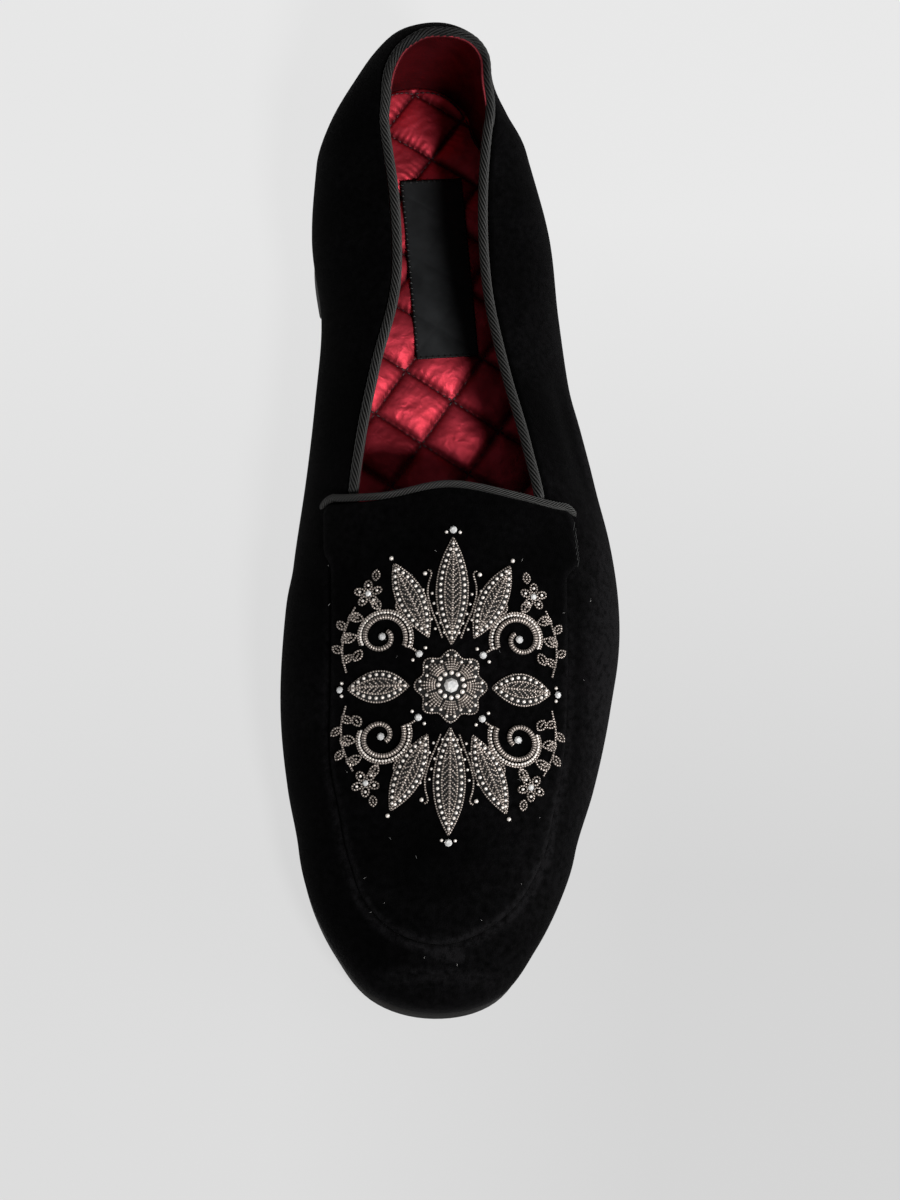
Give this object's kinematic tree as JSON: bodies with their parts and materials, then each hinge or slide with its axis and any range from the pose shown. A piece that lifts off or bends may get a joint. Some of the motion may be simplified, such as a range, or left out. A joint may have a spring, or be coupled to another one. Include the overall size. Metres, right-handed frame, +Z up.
{
  "type": "velvet loafer",
  "caption": "Left slipper-loafer in black velvet: corded collar and throat, apron with raised metal-thread emblem, quilted satin sock, low heel.",
  "frame": {"origin": "on the floor under the middle of the shoe's box", "axes": "+Z up, +Y from the middle to the heel's back, +X to the lateral side of this left shoe"},
  "size_m": [0.0991, 0.2949, 0.0732],
  "materials": {
    "velvet": "black cotton velvet, short nap",
    "cord": "black twisted cord",
    "satin": "crimson satin, quilted",
    "label": "bare black woven tab",
    "sole_leather": "black finished sole leather",
    "heel_stack": "black stacked heel leather",
    "metal_thread": "gunmetal and silver coiled wire"
  },
  "bodies": {
    "root": {"outsole": "sole_leather", "heel": "heel_stack", "upper": "velvet", "apron": "velvet", "collar_cord": "cord", "throat_cord": "cord", "insole": "satin", "label": "label", "emblem_rosette": "metal_thread", "emblem_leaf_toe": "metal_thread", "emblem_leaf_toe_medial": "metal_thread", "emblem_leaf_toe_lateral": "metal_thread", "emblem_leaf_throat": "metal_thread", "emblem_leaf_throat_medial": "metal_thread", "emblem_leaf_throat_lateral": "metal_thread", "emblem_leaf_medial": "metal_thread", "emblem_leaf_lateral": "metal_thread", "emblem_scroll_toe_medial": "metal_thread", "emblem_scroll_toe_lateral": "metal_thread", "emblem_scroll_throat_medial": "metal_thread", "emblem_scroll_throat_lateral": "metal_thread"}
  },
  "joints": []
}
